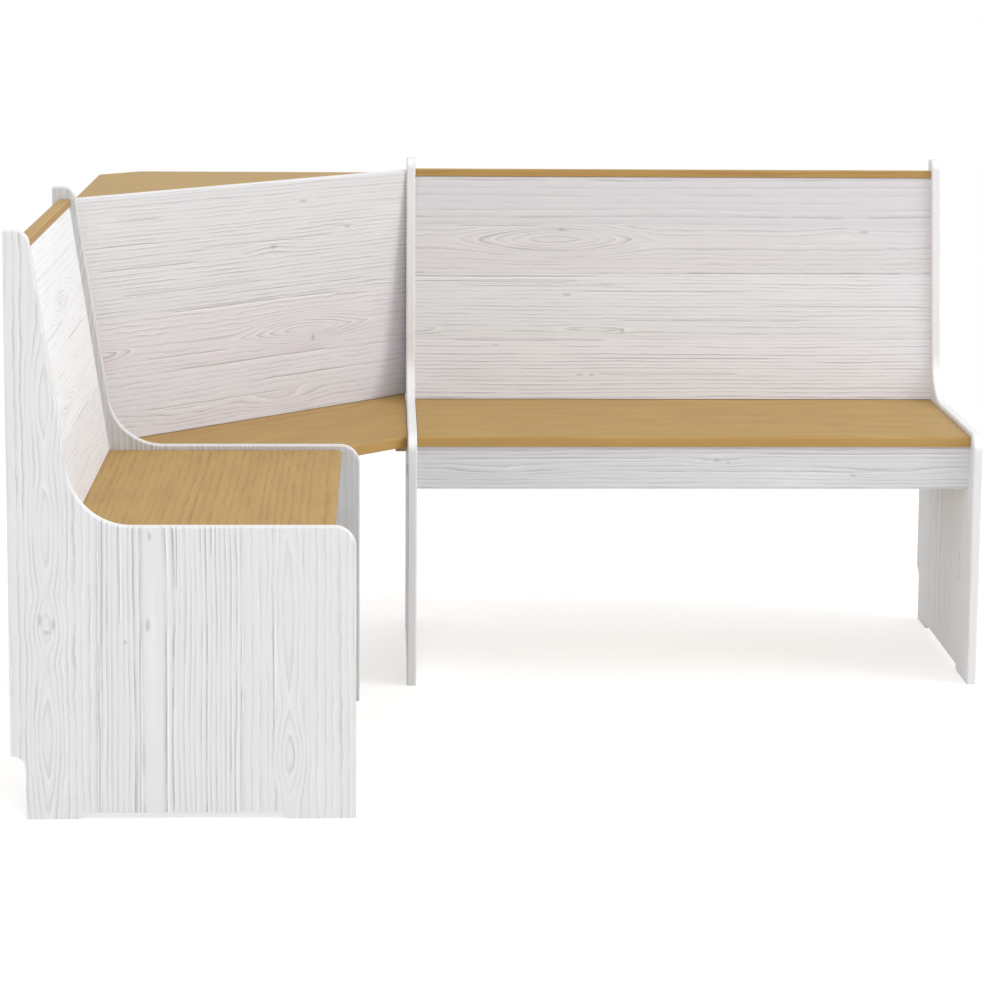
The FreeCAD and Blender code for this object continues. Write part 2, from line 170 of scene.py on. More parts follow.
def dress(shader, tint, roughness, height, depth, shine=0.3):
    """Links a finish's colour, roughness and relief, whose depth is in millimetres."""
    relief = {"Height": height, "Distance": depth / metre, "Strength": relief_strength}
    bump = height.node("ShaderNodeBump", {}, relief)
    tint.tree.links.new(tint.socket, shader.inputs["Base Color"])
    tint.tree.links.new(roughness.socket, shader.inputs["Roughness"])
    tint.tree.links.new(bump.socket, shader.inputs["Normal"])
    shader.inputs["Specular IOR Level"].default_value = shine


# A surface point's distances along, across and through a board, and all three as one vector
Place = namedtuple("Place", "along across through point")


def place_in_board(tree, origin, directions):
    """A surface point's place, in millimetres from the board's origin in its three directions."""
    coordinates = tree.nodes.new("ShaderNodeTexCoord")
    offset = Shade(tree, coordinates.outputs["Object"]).vector("SUBTRACT", origin)
    millimetres = [metre * Vector(direction) for direction in directions]
    shares = [offset.vector("DOT_PRODUCT", direction, output="Value") for direction in millimetres]
    return Place(*shares, offset.node("ShaderNodeCombineXYZ", {}, dict(enumerate(shares))))


def facing(tree, direction):
    """How squarely a surface faces a direction: 1 towards it, 0 beside it and -1 away from it."""
    geometry = tree.nodes.new("ShaderNodeNewGeometry")
    return Shade(tree, geometry.outputs["Normal"]).vector("DOT_PRODUCT", direction, output="Value")


edge_range = (0.97, 0.3)


def board_edges(tree, directions):
    """0 on a board's two broad faces, which face its third direction, and 1 on its edges."""
    return abs(facing(tree, directions[2])).step(*edge_range)


# A variation of the wood is noise. It has the lengths along, across and through a board over which
# it changes, in millimetres, a number that sets it apart from the board's others, and its detail.
Variation = namedtuple("Variation", "along across through number detail", defaults=(2,))
noise_swing = 1.7


def soft_noise(place, variation, seed):
    """Noise of about -1 to 1 that varies over a board, whose seed sets it apart from other boards."""
    scale = (1 / variation.along, 1 / variation.across, 1 / variation.through)
    point = place.point.vector("MULTIPLY_ADD", scale, (seed + variation.number, 0, 0))
    settings = {"Vector": point, "Scale": 1.0, "Detail": variation.detail}
    return point.node("ShaderNodeTexNoise", {}, settings).between(-noise_swing, noise_swing)


def reach_from(place, middle, reach):
    """0 at a middle (along, across), and 1 on the ellipse a reach (along, across) away from it."""
    scaled = place.point.vector("MULTIPLY", (1 / reach[0], 1 / reach[1], 0))
    return scaled.vector("DISTANCE", (middle[0] / reach[0], middle[1] / reach[1], 0), output="Value")


# A stave is one of the boards glued side by side. It starts at a distance across the board. Its
# pith lies at another distance across and at a depth under the face, and its rings have a width,
# a share of relief and a wobble. A whitewashed stave has a tone. Its flames are places where the
# rings close up: the middle's distances along and across, how far from it the flame ends along
# and across, and the rings that it holds.
Stave = namedtuple("Stave", "start pith depth width relief wobble tone flames", defaults=(None, ()))

# Rings bow and wobble across the board, drift through it and are unevenly spaced. The bow's reach
# is in millimetres, and the spacing's in rings.
ring_bow = Variation(420, 90, 90, 0)
ring_bow_reach = 4
ring_wobble = Variation(40, 14, 14, 1)
ring_drift = Variation(330, 400, 400, 5)
ring_spacing = Variation(900, 17, 17, 6)
ring_spacing_reach = 0.2
rings_between_staves = 32
flame_relief = 0.5


def growth_rings(place, staves, seed):
    """Counts growth rings outwards from the pith of each stave, and gives the rings' relief."""
    bow = soft_noise(place, ring_bow, seed) * ring_bow_reach + place.across
    wobble = soft_noise(place, ring_wobble, seed)
    drift = soft_noise(place, ring_drift, seed) + place.through
    spacing = soft_noise(place, ring_spacing, seed) * ring_spacing_reach
    rings, relief = 0, 0
    for number, stave in enumerate(staves):
        aside = wobble.maths("MULTIPLY_ADD", stave.wobble, bow - stave.pith)
        below = drift + stave.depth
        from_pith = (aside * aside + below * below).maths("SQRT")
        counted = from_pith / stave.width + spacing + rings_between_staves * number
        bold = stave.relief
        for flame_along, flame_across, reach_along, reach_across, count in stave.flames:
            reach = (reach_along, reach_across)
            swelling = reach_from(place, (flame_along, flame_across), reach).step(1, 0)
            counted = swelling.maths("MULTIPLY_ADD", -count, counted)
            bold = swelling.maths("MULTIPLY_ADD", flame_relief, bold)
        if number:
            here = place.across > stave.start
            counted = here.maths("MULTIPLY_ADD", counted - rings, rings)
            bold = here.maths("MULTIPLY_ADD", bold - relief, relief)
        rings, relief = counted, bold
    return rings, relief


# The dark late wood and the light edge beside it, from 0 to 1; finishes give the edge a painted highlight
Grain = namedtuple("Grain", "dark light")

# Shares of a ring's width between which the late wood darkens and ends, and the light edge fades
late_wood_range = (0.42, 0.9)
late_wood_end = (1.0, 0.93)
light_edge_range = (0.3, 0.02)

# Rings, and the stretches of a ring, differ in strength. These are the weakest.
weakest_ring = 0.35
weakest_stretch = 0.2
grain_fade = Variation(95, 14, 14, 3)
grain_fade_range = (-0.6, 0.5)


def pine_grain(place, staves, seed):
    """The wood that darkens towards each ring's end, and the light edge behind it, raised and taking a
    painted highlight.
    """
    rings, relief = growth_rings(place, staves, seed)
    share = rings.maths("FRACT")
    chance = rings.node("ShaderNodeTexWhiteNoise", {"noise_dimensions": "1D"}, {"W": rings - share})
    fade = soft_noise(place, grain_fade, seed).step(*grain_fade_range)
    strength = chance.between(weakest_ring, 1) * fade.between(weakest_stretch, 1) * relief
    dark = share.step(*late_wood_range) * share.step(*late_wood_end) * strength
    return Grain(dark, share.step(*light_edge_range) * strength)


knot_warp = Variation(9, 4, 4, 0, 3)
knot_warp_reach = 0.45
knot_range = (1.1, 0.2)


def knots_in(place, knots, seed):
    """The dark smudges of small knots, at (along, across, length, width) places."""
    warp = soft_noise(place, knot_warp, seed) * knot_warp_reach
    marks = 0
    for along, across, length, width in knots:
        marks = (reach_from(place, (along, across), (length, width)) + warp).step(*knot_range) + marks
    return marks


line_waver = Variation(110, 300, 300, 12)
line_waver_reach = 0.8
line_fade = Variation(60, 12, 12, 13)
line_fade_range = (-1.4, 0.2)
line_end_length = 30


def open_grain(place, lines, lip, seed):
    """Open lines of grain at (from, to, across, half width) places. The value is below 0 in a line
    and above 0 on its lip, which is at its far side across the board for 1, and the near for -1.
    It serves as relief, and in colour as painted shade in the line and a painted highlight on the lip.
    """
    waver = soft_noise(place, line_waver, seed) * line_waver_reach + place.across
    faint = soft_noise(place, line_fade, seed).step(*line_fade_range)
    profile = 0
    for start, end, across, half_width in lines:
        aside = waver.maths("MULTIPLY_ADD", lip / half_width, -lip * across / half_width)
        square = aside * aside
        wave = aside / square.maths("MULTIPLY_ADD", square, 1)
        half_length = (end - start) / 2
        from_middle = abs(place.along - (start + end) / 2)
        present = from_middle.step(half_length, half_length - line_end_length)
        profile = wave.maths("MULTIPLY_ADD", present, profile)
    return profile * faint


def finish_node(node, material):
    """Gives a CAD node its material."""
    nodes[node].data.materials.clear()
    nodes[node].data.materials.append(material)


up = (0, 0, 1)
# The noise over which a finish goes from its lowest roughness to its highest
gloss_range = (-1.5, 1.5)

# The wash lies thicker and thinner in patches. A share says how much of a tone shows at most.
wash_patch = Variation(190, 60, 60, 9, 3)
thick_wash = colour(234, 234, 229)
thick_wash_range = (0.1, 1.2)
thick_wash_share = 0.45
thin_wash = colour(220, 215, 221)
thin_wash_range = (-0.1, -1.2)
thin_wash_share = 0.4

# It shows the grain and fine fibres, dark and light, and a painted highlight on each ring's light edge
wash_fibre = Variation(70, 1.5, 1.5, 2, 3)
wash_fibre_share = 0.15
wash_dark = colour(150, 148, 152)
wash_dark_share = 0.5
wash_dark_fibre_range = (0.2, 1.6)
# This light colour is a painted highlight on the rings' light edges, and the tone of light fibres
wash_light_and_highlight = colour(254, 254, 254)
wash_highlight_share = 0.45
wash_light_fibre_range = (-0.3, -1.6)

# The staves' tones meet at a joint, which opens here and there
joint_half_width = 0.8
joint_groove_range = (1.4, 0.2)
joint_opening = Variation(300, 500, 500, 7)
joint_opening_range = (-0.4, 0.9)
joint_shadow = colour(160, 157, 158)
joint_shadow_share = 0.3

# Open lines of grain, knots, and the board's edges
# The lip of an open line takes a painted highlight, and the line painted shade
lip_painted_highlight = colour(252, 251, 251)
line_shadow = colour(142, 138, 140)
knot_shadow = colour(146, 142, 142)
knot_shadow_share = 0.4
side_edge = colour(226, 225, 226)
# Edges that face up take this painted highlight, lighter than the side edges' tone
painted_edge_highlight = colour(252, 251, 251)
painted_edge_highlight_range = (0.05, 0.6)
edge_share = 0.85

# The brushed relief, in millimetres, and the shares of it that each mark rises or sinks
wash_relief = 0.6
wash_light_height = 0.5
wash_dark_depth = 0.6
wash_fibre_depth = 0.1
joint_depth = 0.6
knot_depth = 0.3
edge_smoothness = 0.7
wash_roughness = (0.46, 0.6)


def whitewashed_pine(node, origin, directions, staves, knots, lines, seed, lip=-1):
    """Gives a node brushed pine under a thin whitewash, with one tone for each stave."""
    material, tree, shader = new_finish(node + "_finish")
    place = place_in_board(tree, origin, directions)
    grain = pine_grain(place, staves, seed)
    fibre = soft_noise(place, wash_fibre, seed)
    patch = soft_noise(place, wash_patch, seed)
    groove = 0
    tint = colour(*staves[0].tone)
    for stave in staves[1:]:
        aside = place.across - stave.start
        tint = aside.step(-joint_half_width, joint_half_width).mix(tint, colour(*stave.tone))
        groove = abs(aside).step(*joint_groove_range) + groove
    groove = soft_noise(place, joint_opening, seed).step(*joint_opening_range) * groove
    tint = (patch.step(*thick_wash_range) * thick_wash_share).mix(tint, thick_wash)
    tint = (patch.step(*thin_wash_range) * thin_wash_share).mix(tint, thin_wash)
    # The rings' light edges take a painted highlight, and light fibres their own light tone
    dark = grain.dark * wash_dark_share + fibre.step(*wash_dark_fibre_range) * wash_fibre_share
    light = grain.light * wash_highlight_share + fibre.step(*wash_light_fibre_range) * wash_fibre_share
    tint = light.mix(dark.mix(tint, wash_dark), wash_light_and_highlight)
    tint = (groove * joint_shadow_share).mix(tint, joint_shadow)
    profile = open_grain(place, lines, lip, seed)
    # Painted shade in each open line, and a painted highlight on its lip
    tint = (profile * -1.0).mix(profile.mix(tint, lip_painted_highlight), line_shadow)
    marks = knots_in(place, knots, seed)
    tint = (marks * knot_shadow_share).mix(tint, knot_shadow)
    edges = board_edges(tree, directions)
    # The edges take their own tone, with a painted highlight where they face up
    edge_tone_and_highlight = facing(tree, up).step(*painted_edge_highlight_range).mix(side_edge, painted_edge_highlight)
    tint = (edges * edge_share).mix(tint, edge_tone_and_highlight)
    height = grain.light * wash_light_height - grain.dark * wash_dark_depth
    height = height - groove * joint_depth - fibre * wash_fibre_depth + profile - marks * knot_depth
    height = height * (1 - edges * edge_smoothness)
    dress(shader, tint, fibre.step(*gloss_range).between(*wash_roughness), height, wash_relief)
    finish_node(node, material)


def box_corner(node, directions):
    """The corner of a node's box from which the directions lead into it."""
    low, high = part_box(node)
    total = Vector(directions[0]) + Vector(directions[1]) + Vector(directions[2])
    return Vector(low[axis] if total[axis] > 0 else high[axis] for axis in range(3))


def panel_staves(panel):
    """A side panel's three staves, with its own tone, share of relief and shift of the flames."""
    tone, shift, bold = panel.tone, panel.shift, panel.bold
    return [
        Stave(
            start=0, pith=54, depth=3.0, width=10.5, relief=0.85 * bold, wobble=2.4, tone=tone,
            flames=[
                (618 + shift, 54, 130, 38, 2), (430 + shift, 56, 150, 40, 2),
                (284 + shift, 54, 58, 38, 2), (122 + shift, 54, 160, 40, 2),
            ]),
        Stave(start=131, pith=208, depth=28, width=6.8, relief=1.4 * bold, wobble=0.5, tone=tone),
        Stave(
            start=335, pith=402, depth=3.2, width=11.0, relief=0.75 * bold, wobble=2.2, tone=tone,
            flames=[(95 + shift, 406, 84, 36, 2), (300 + shift, 402, 190, 34, 1)]),
    ]


def panel_knots(shift):
    """A side panel's large knot, in three smudges, and its few small ones."""
    return [
        (296 + shift, 45, 13, 4), (290 + shift, 64, 12, 4), (279 + shift, 55, 5, 6),
        (290 + shift, 200, 12, 4), (420 + shift, 203, 10, 4), (264 + shift, 167, 4, 3),
    ]


def panel_lines(shift):
    """The open lines along a side panel's glued joints and in its middle stave."""
    return [
        (-60 + shift, 275 + shift, 130, 1.3), (-60 + shift, 285 + shift, 189, 1.2),
        (-60 + shift, 300 + shift, 227, 1.5), (280 + shift, 520 + shift, 160, 1.2),
        (330 + shift, 520 + shift, 243, 1.4), (380 + shift, 520 + shift, 293, 1.2),
        (-60 + shift, 150 + shift, 326, 1.1), (120 + shift, 310 + shift, 382, 1.4),
    ]


# Directions along each straight seat from the corner, out from its wall, and into the wall
long_along, long_out, into_long = (1, 0, 0), (0, -1, 0), (0, 1, 0)
short_along, short_out, into_short = (0, -1, 0), (1, 0, 0), (-1, 0, 0)

# A panel's directions along, across and through it, its tone, how far its flames, knots and lines
# are moved up, and its share of relief
Panel = namedtuple("Panel", "directions tone shift bold")
panels = {
    # The short inner panel's darker tone is painted shade, and the right end panel's lighter one painted
    # light
    "front_end_panel": Panel((up, short_out, into_long), (223, 223, 224), shift=0, bold=1.0),
    "short_inner_panel": Panel((up, short_out, into_long), (200, 200, 201), shift=60, bold=0.8),
    "long_inner_panel": Panel((up, long_out, long_along), (230, 230, 231), shift=-40, bold=0.8),
    "right_end_panel": Panel((up, long_out, long_along), (234, 234, 235), shift=90, bold=0.6),
}
panel_seed_step = 21
for number, (node, panel) in enumerate(panels.items()):
    whitewashed_pine(
        node, box_corner(node, panel.directions), panel.directions, panel_staves(panel),
        panel_knots(panel.shift), panel_lines(panel.shift), seed=panel_seed_step * number, lip=1)

# Aprons. A board under the front edge of each straight seat, whitewashed like the panels. It is
# bolted to the inner panel and dowelled to the end panel.

apron_stave = Stave(
    start=0, pith=110, depth=25, width=7.0, relief=0.9, wobble=1.0, tone=(213, 212, 214),
    flames=[(516, 48, 90, 17, 1), (150, 30, 180, 18, 1), (810, 28, 140, 17, 1)])
apron_knots = [(512, 50, 8, 4), (530, 46, 6, 3), (745, 24, 6, 3)]
apron_lines = [(380, 800, 29, 1.1), (60, 420, 52, 1.0), (560, 940, 60, 1.0)]
apron_ways = {
    "long_apron": (long_along, up, into_long),
    "short_apron": (short_along, up, into_short),
}
for node, directions in apron_ways.items():
    whitewashed_pine(
        node, box_corner(node, directions), directions, [apron_stave], apron_knots, apron_lines, seed=80)

# Seats. Glued pine boards, stained honey brown and waxed, with a rounded front edge. They are
# screwed up from cleats on the panels' faces.

# The stain's tones, with how much of each shows at most
stain_patch = Variation(150, 30, 30, 4, 3)
stain_patch_range = (-1.3, 1.3)
stain_deep = colour(181, 144, 84)
stain_pale = colour(198, 164, 99)
stain_warmth = Variation(260, 60, 60, 8)
stain_warm_range = (0.2, 1.4)
stain_warm = colour(189, 147, 88)
stain_warm_share = 0.5
stain_fibre = Variation(70, 1.8, 1.8, 2, 3)
stain_fibre_range = (0.3, 1.7)
stain_fibre_share = 0.2
stain_dark = colour(148, 112, 66)
stain_dark_share = 0.75
# A painted highlight on each ring's light edge
stain_painted_highlight = colour(205, 173, 114)
stain_painted_highlight_share = 0.3
stain_edge = colour(172, 134, 78)
stain_edge_share = 0.6

# Its soft relief, in millimetres and in shares of it, and its waxed gloss
stain_relief = 0.3
stain_light_height = 0.2
stain_dark_depth = 0.3
stain_roughness = (0.46, 0.58)
stain_shine = 0.2


def honey_pine(node, directions, staves, seed):
    """Gives a node pine stained honey brown, whose grain shows only softly."""
    material, tree, shader = new_finish(node + "_finish")
    place = place_in_board(tree, box_corner(node, directions), directions)
    grain = pine_grain(place, staves, seed)
    patch = soft_noise(place, stain_patch, seed)
    fibre = soft_noise(place, stain_fibre, seed)
    warmth = soft_noise(place, stain_warmth, seed)
    tint = patch.step(*stain_patch_range).mix(stain_deep, stain_pale)
    tint = (warmth.step(*stain_warm_range) * stain_warm_share).mix(tint, stain_warm)
    dark = grain.dark * stain_dark_share + fibre.step(*stain_fibre_range) * stain_fibre_share
    # The rings' light edges take a painted highlight
    tint = (grain.light * stain_painted_highlight_share).mix(dark.mix(tint, stain_dark), stain_painted_highlight)
    tint = (board_edges(tree, directions) * stain_edge_share).mix(tint, stain_edge)
    height = grain.light * stain_light_height - grain.dark * stain_dark_depth
    roughness = patch.step(*gloss_range).between(*stain_roughness)
    dress(shader, tint, roughness, height, stain_relief, stain_shine)
    finish_node(node, material)


# Directions of boards that lie flat. Those in the corner run slanting, at 45 degrees to both walls.
down = (0, 0, -1)
slant = math.sqrt(0.5)
corner_along = (slant, slant, 0)
corner_out = (slant, -slant, 0)
into_corner = (-slant, slant, 0)
flat_ways = {
    "long": (long_along, long_out, down),
    "short": (short_along, short_out, down),
    "corner": (corner_along, corner_out, down),
}
seat_staves = [
    Stave(start=0, pith=-120, depth=60, width=11.0, relief=0.6, wobble=2.0),
    Stave(start=140, pith=40, depth=50, width=13.0, relief=0.8, wobble=2.5),
    Stave(start=270, pith=440, depth=50, width=11.0, relief=0.6, wobble=2.0),
]
first_seat_seed = 5
honey_seed_step = 10
for number, (run, directions) in enumerate(flat_ways.items()):
    honey_pine(run + "_seat", directions, seat_staves, first_seat_seed + honey_seed_step * number)

# Backrests. Wide glued boards, whitewashed, that lean with the panels' slope. The corner one
# stands upright across the corner and is mitred against the inner panels.

back_lean_degrees = 8.6
lean_back = math.sin(math.radians(back_lean_degrees))
lean_up = math.cos(math.radians(back_lean_degrees))
long_back_ways = (long_along, (0, lean_back, lean_up), (0, lean_up, -lean_back))
short_back_ways = (short_along, (-lean_back, 0, lean_up), (-lean_up, 0, -lean_back))
long_back_staves = [
    Stave(start=0, pith=-30, depth=30, width=6.5, relief=1.05, wobble=0.8, tone=(229, 227, 232)),
    Stave(
        start=111, pith=127, depth=2.4, width=7.0, relief=0.95, wobble=1.3, tone=(225, 225, 227),
        flames=[(325, 127, 100, 17, 1), (8, 125, 56, 17, 1)]),
    Stave(
        start=228, pith=290, depth=2.8, width=9.0, relief=0.95, wobble=2.2, tone=(219, 216, 218),
        flames=[(255, 290, 215, 54, 5), (780, 304, 100, 18, 1)]),
    Stave(start=315, pith=560, depth=40, width=13.0, relief=0.8, wobble=1.2, tone=(215, 212, 215)),
]
long_back_knots = [
    (268, 308, 16, 4), (145, 98, 9, 2), (300, 44, 9, 3), (322, 44, 7, 3), (378, 124, 5, 6),
    (276, 190, 9, 5), (820, 306, 12, 4),
]
long_back_lines = [
    (60, 240, 314, 1.1), (-40, 340, 222, 1.4), (-40, 310, 213, 1.2), (70, 380, 205, 1.1),
    (60, 360, 105, 1.5), (290, 620, 194, 1.2), (360, 720, 141, 1.3), (300, 660, 72, 1.2),
    (320, 600, 44, 1.2), (480, 900, 228, 1.2), (620, 940, 168, 1.1),
]
whitewashed_pine(
    "long_backrest", box_corner("long_backrest", long_back_ways), long_back_ways, long_back_staves,
    long_back_knots, long_back_lines, seed=110)
# These staves are whiter than the other backrests' partly in tone and partly as painted light
short_back_staves = [
    Stave(
        start=0, pith=30, depth=2.4, width=7.5, relief=0.6, wobble=1.3, tone=(239, 240, 245),
        flames=[(250, 40, 140, 28, 1)]),
    Stave(
        start=111, pith=150, depth=2.4, width=8.0, relief=0.55, wobble=1.3, tone=(246, 248, 251),
        flames=[(420, 150, 140, 28, 2)]),
    Stave(
        start=228, pith=290, depth=2.8, width=9.0, relief=0.55, wobble=1.3, tone=(247, 249, 253),
        flames=[(300, 290, 190, 50, 3)]),
    Stave(start=315, pith=560, depth=40, width=12.0, relief=0.5, wobble=1.0, tone=(247, 249, 253)),
]
short_back_knots = [(320, 290, 9, 4)]
short_back_lines = [(150, 420, 111, 1.2), (60, 300, 228, 1.2), (320, 560, 260, 1.0)]
whitewashed_pine(
    "short_backrest", box_corner("short_backrest", short_back_ways), short_back_ways, short_back_staves,
    short_back_knots, short_back_lines, seed=140)

# Distances along the corner backrest count from its middle, whose face is this many metres from
# both walls
corner_reach = 0.306
corner_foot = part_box("corner_backrest")[0].z
corner_middle = Vector((cad_bounds[0].x + corner_reach, cad_bounds[1].y - corner_reach, corner_foot))
corner_back_ways = (corner_along, up, into_corner)
corner_back_staves = [
    Stave(
        start=0, pith=160, depth=22, width=9.0, relief=0.8, wobble=2.6, tone=(223, 221, 228),
        flames=[(-150, 30, 160, 32, 1), (70, 26, 140, 28, 2)]),
    Stave(
        start=104, pith=146, depth=2.8, width=9.0, relief=0.9, wobble=2.4, tone=(222, 218, 224),
        flames=[(130, 146, 185, 44, 4), (-330, 144, 84, 30, 2)]),
    Stave(
        start=204, pith=120, depth=36, width=7.0, relief=0.95, wobble=1.0, tone=(220, 220, 222),
        flames=[(60, 298, 100, 22, 1)]),
]
corner_back_knots = [(152, 128, 6, 9), (57, 298, 10, 6), (127, 373, 13, 4), (237, 320, 8, 3)]
corner_back_lines = [
    (-187, 225, 204, 1.7), (-178, 196, 104, 1.8), (-345, -110, 285, 1.5), (-350, -190, 365, 1.3),
    (-345, -200, 325, 1.1), (-125, 210, 308, 1.2), (190, 268, 321, 1.2), (-300, 60, 240, 1.1),
    (-60, 300, 224, 1.1), (-300, -40, 128, 1.1), (20, 300, 66, 1.2), (-250, 90, 42, 1.1),
]
whitewashed_pine(
    "corner_backrest", corner_middle, corner_back_ways, corner_back_staves, corner_back_knots,
    corner_back_lines, seed=170)

# Top strips. Thin honey-brown strips on the backrests' top edges, and the three-cornered shelf
# behind the corner backrest, which lies on a batten and two brackets.

strip_stave = Stave(start=0, pith=-60, depth=20, width=6.0, relief=0.8, wobble=1.0)
strips = {"long_top_cap": "long", "short_top_cap": "short", "corner_shelf": "corner"}
first_strip_seed = 205
for number, (node, run) in enumerate(strips.items()):
    honey_pine(node, flat_ways[run], [strip_stave], first_strip_seed + honey_seed_step * number)

# Hidden timber. Cleats, rails, battens and brackets of plain planed pine, left bare. They are
# screwed, dowelled or glued where the seats and backrests hide them.

bare_stave = Stave(start=0, pith=18, depth=24, width=3.5, relief=1.0, wobble=0.6)
bare_patch = Variation(120, 30, 30, 6)
bare_patch_range = (-1.4, 1.4)
bare_deep = colour(216, 188, 144)
bare_pale = colour(226, 202, 162)
bare_fibre = Variation(40, 1.2, 1.2, 2, 3)
bare_fibre_range = (0.3, 1.7)
bare_fibre_share = 0.15
bare_dark = colour(172, 124, 74)
bare_dark_share = 0.7
bare_relief = 0.2
bare_fibre_height = 0.2
bare_roughness = (0.56, 0.68)


def planed_pine(node, directions, seed):
    """Gives a node bare planed pine with clear yellow and brown rings."""
    material, tree, shader = new_finish(node + "_finish")
    place = place_in_board(tree, box_corner(node, directions), directions)
    grain = pine_grain(place, [bare_stave], seed)
    fibre = soft_noise(place, bare_fibre, seed)
    patch = soft_noise(place, bare_patch, seed)
    tint = patch.step(*bare_patch_range).mix(bare_deep, bare_pale)
    dark = grain.dark * bare_dark_share + fibre.step(*bare_fibre_range) * bare_fibre_share
    roughness = patch.step(*gloss_range).between(*bare_roughness)
    height = grain.dark + fibre * bare_fibre_height
    dress(shader, dark.mix(tint, bare_dark), roughness, height, bare_relief)
    finish_node(node, material)


hidden_timber = {
    "long_rear_rail": (long_along, up, into_long),
    "short_rear_rail": (short_along, up, into_short),
    "corner_rear_rail": (corner_along, up, into_corner),
    "long_seat_inner_cleat": (long_out, up, long_along),
    "long_seat_outer_cleat": (long_out, up, long_along),
    "short_seat_inner_cleat": (short_out, up, into_long),
    "short_seat_outer_cleat": (short_out, up, into_long),
    "corner_seat_right_cleat": (long_out, up, long_along),
    "corner_seat_left_cleat": (short_out, up, into_long),
    "long_backrest_inner_cleat": (up, long_along, into_long),
    "long_backrest_outer_cleat": (up, long_along, into_long),
    "short_backrest_inner_cleat": (up, into_long, into_short),
    "short_backrest_outer_cleat": (up, into_long, into_short),
    "corner_shelf_batten": (corner_along, up, into_corner),
    "corner_shelf_left_bracket": (into_corner, up, corner_along),
    "corner_shelf_right_bracket": (into_corner, up, corner_along),
}
first_timber_seed = 300
timber_seed_step = 11
for number, (node, directions) in enumerate(hidden_timber.items()):
    planed_pine(node, directions, first_timber_seed + timber_seed_step * number)

# Dowels, bolts and cross nuts. Beech dowels hold the rails' ends, and zinc-plated bolts that end
# in cross nuts draw the aprons against the inner panels.

speckle_range = (-1.4, 1.4)
speckle_relief = 0.02


def speckled_finish(name, pale, deep, span, roughness, metallic):
    """A finish whose colour and gloss vary a little in patches of a span in millimetres."""
    material, tree, shader = new_finish(name)
    place = place_in_board(tree, (0, 0, 0), (long_along, long_out, up))
    speckles = Variation(span, span, span, number=0, detail=3)
    patch = soft_noise(place, speckles, 0).step(*speckle_range)
    tint = patch.mix(colour(*deep), colour(*pale))
    dress(shader, tint, patch.between(*roughness), patch, speckle_relief)
    shader.inputs["Metallic"].default_value = metallic
    return material


zinc = speckled_finish(
    "zinc_finish", pale=(222, 222, 214), deep=(196, 196, 190), span=2.5,
    roughness=(0.28, 0.42), metallic=1.0)
beech = speckled_finish(
    "beech_finish", pale=(206, 168, 122), deep=(186, 146, 100), span=3.0,
    roughness=(0.5, 0.65), metallic=0.0)
finish_node("dowels", beech)
finish_node("apron_bolts", zinc)
finish_node("apron_barrel_nuts", zinc)

# Wood screws. Countersunk screws of zinc-plated steel with a cross recess, sunk flush in the
# cleats, the shelf's batten and the inner panels.

screw_head_radius = 4.0
screw_head_height = 2.4
screw_shank_radius = 2.0
screw_tip_length = 4.0
screw_head_arris = 0.15
recess_reach = 2.4
recess_half_width = 0.45
recess_depth = 1.2
recess_taper = 0.7
screw_sides = 24

# The CAD screws have a few flat sides. Corners nearer to each other than this, in metres, are one,
# and a solid's place to so many digits sets its turn.
packed_screw_sides = 6
merge_distance = 0.00001
place_digits = 4


def middle_of(corners):
    """The mean place of some corners."""
    return sum(corners, Vector()) / len(corners)


def solids_of(node):
    """The corners of each separate solid in a CAD node, in a steady order."""
    solids = bmesh.new()
    solids.from_mesh(nodes[node].data)
    bmesh.ops.remove_doubles(solids, verts=solids.verts, dist=merge_distance)
    waiting = set(solids.verts)
    found = []
    while waiting:
        reached = [waiting.pop()]
        for corner in reached:
            beside = {edge.other_vert(corner) for edge in corner.link_edges} & waiting
            waiting -= beside
            reached.extend(beside)
        found.append([corner.co.copy() for corner in solids.verts if corner in reached])
    solids.free()
    return sorted(found, key=lambda corners: [round(share, place_digits) for share in middle_of(corners)])


def ring_of(piece, radius, height, sides):
    """A ring of new corners about the piece's own upright line."""
    turns = [2 * math.pi * side / sides for side in range(sides)]
    return [piece.verts.new((radius * math.cos(turn), radius * math.sin(turn), height)) for turn in turns]


def skin_between(piece, first, second):
    """Faces between two rings, or from a ring to the one corner that closes it."""
    for side in range(len(first)):
        following = (side + 1) % len(first)
        corners = [
            first[side], first[following],
            second[following % len(second)], second[side % len(second)],
        ]
        piece.faces.new(list(dict.fromkeys(corners)))


def ring_edges(piece, ring):
    """The edges between a ring's corners."""
    return [piece.edges.get((ring[side - 1], ring[side])) for side in range(len(ring))]


def stand(piece, made, base, outward):
    """Places corners made in millimetres about the upright line, at a base and facing outward."""
    turn = outward.to_track_quat("Z", "Y").to_matrix().to_4x4()
    place = Matrix.Translation(base) @ turn @ Matrix.Scale(1 / metre, 4)
    bmesh.ops.transform(piece, matrix=place, verts=made)


def recess_outline():
    """The corners (x, y) of the cross recess, three for each of its four arms."""
    arm = [
        (recess_reach, -recess_half_width),
        (recess_reach, recess_half_width),
        (recess_half_width, recess_half_width),
    ]
    outline = []
    for quarter in range(4):
        outline += arm
        arm = [(-y, x) for x, y in arm]
    return outline


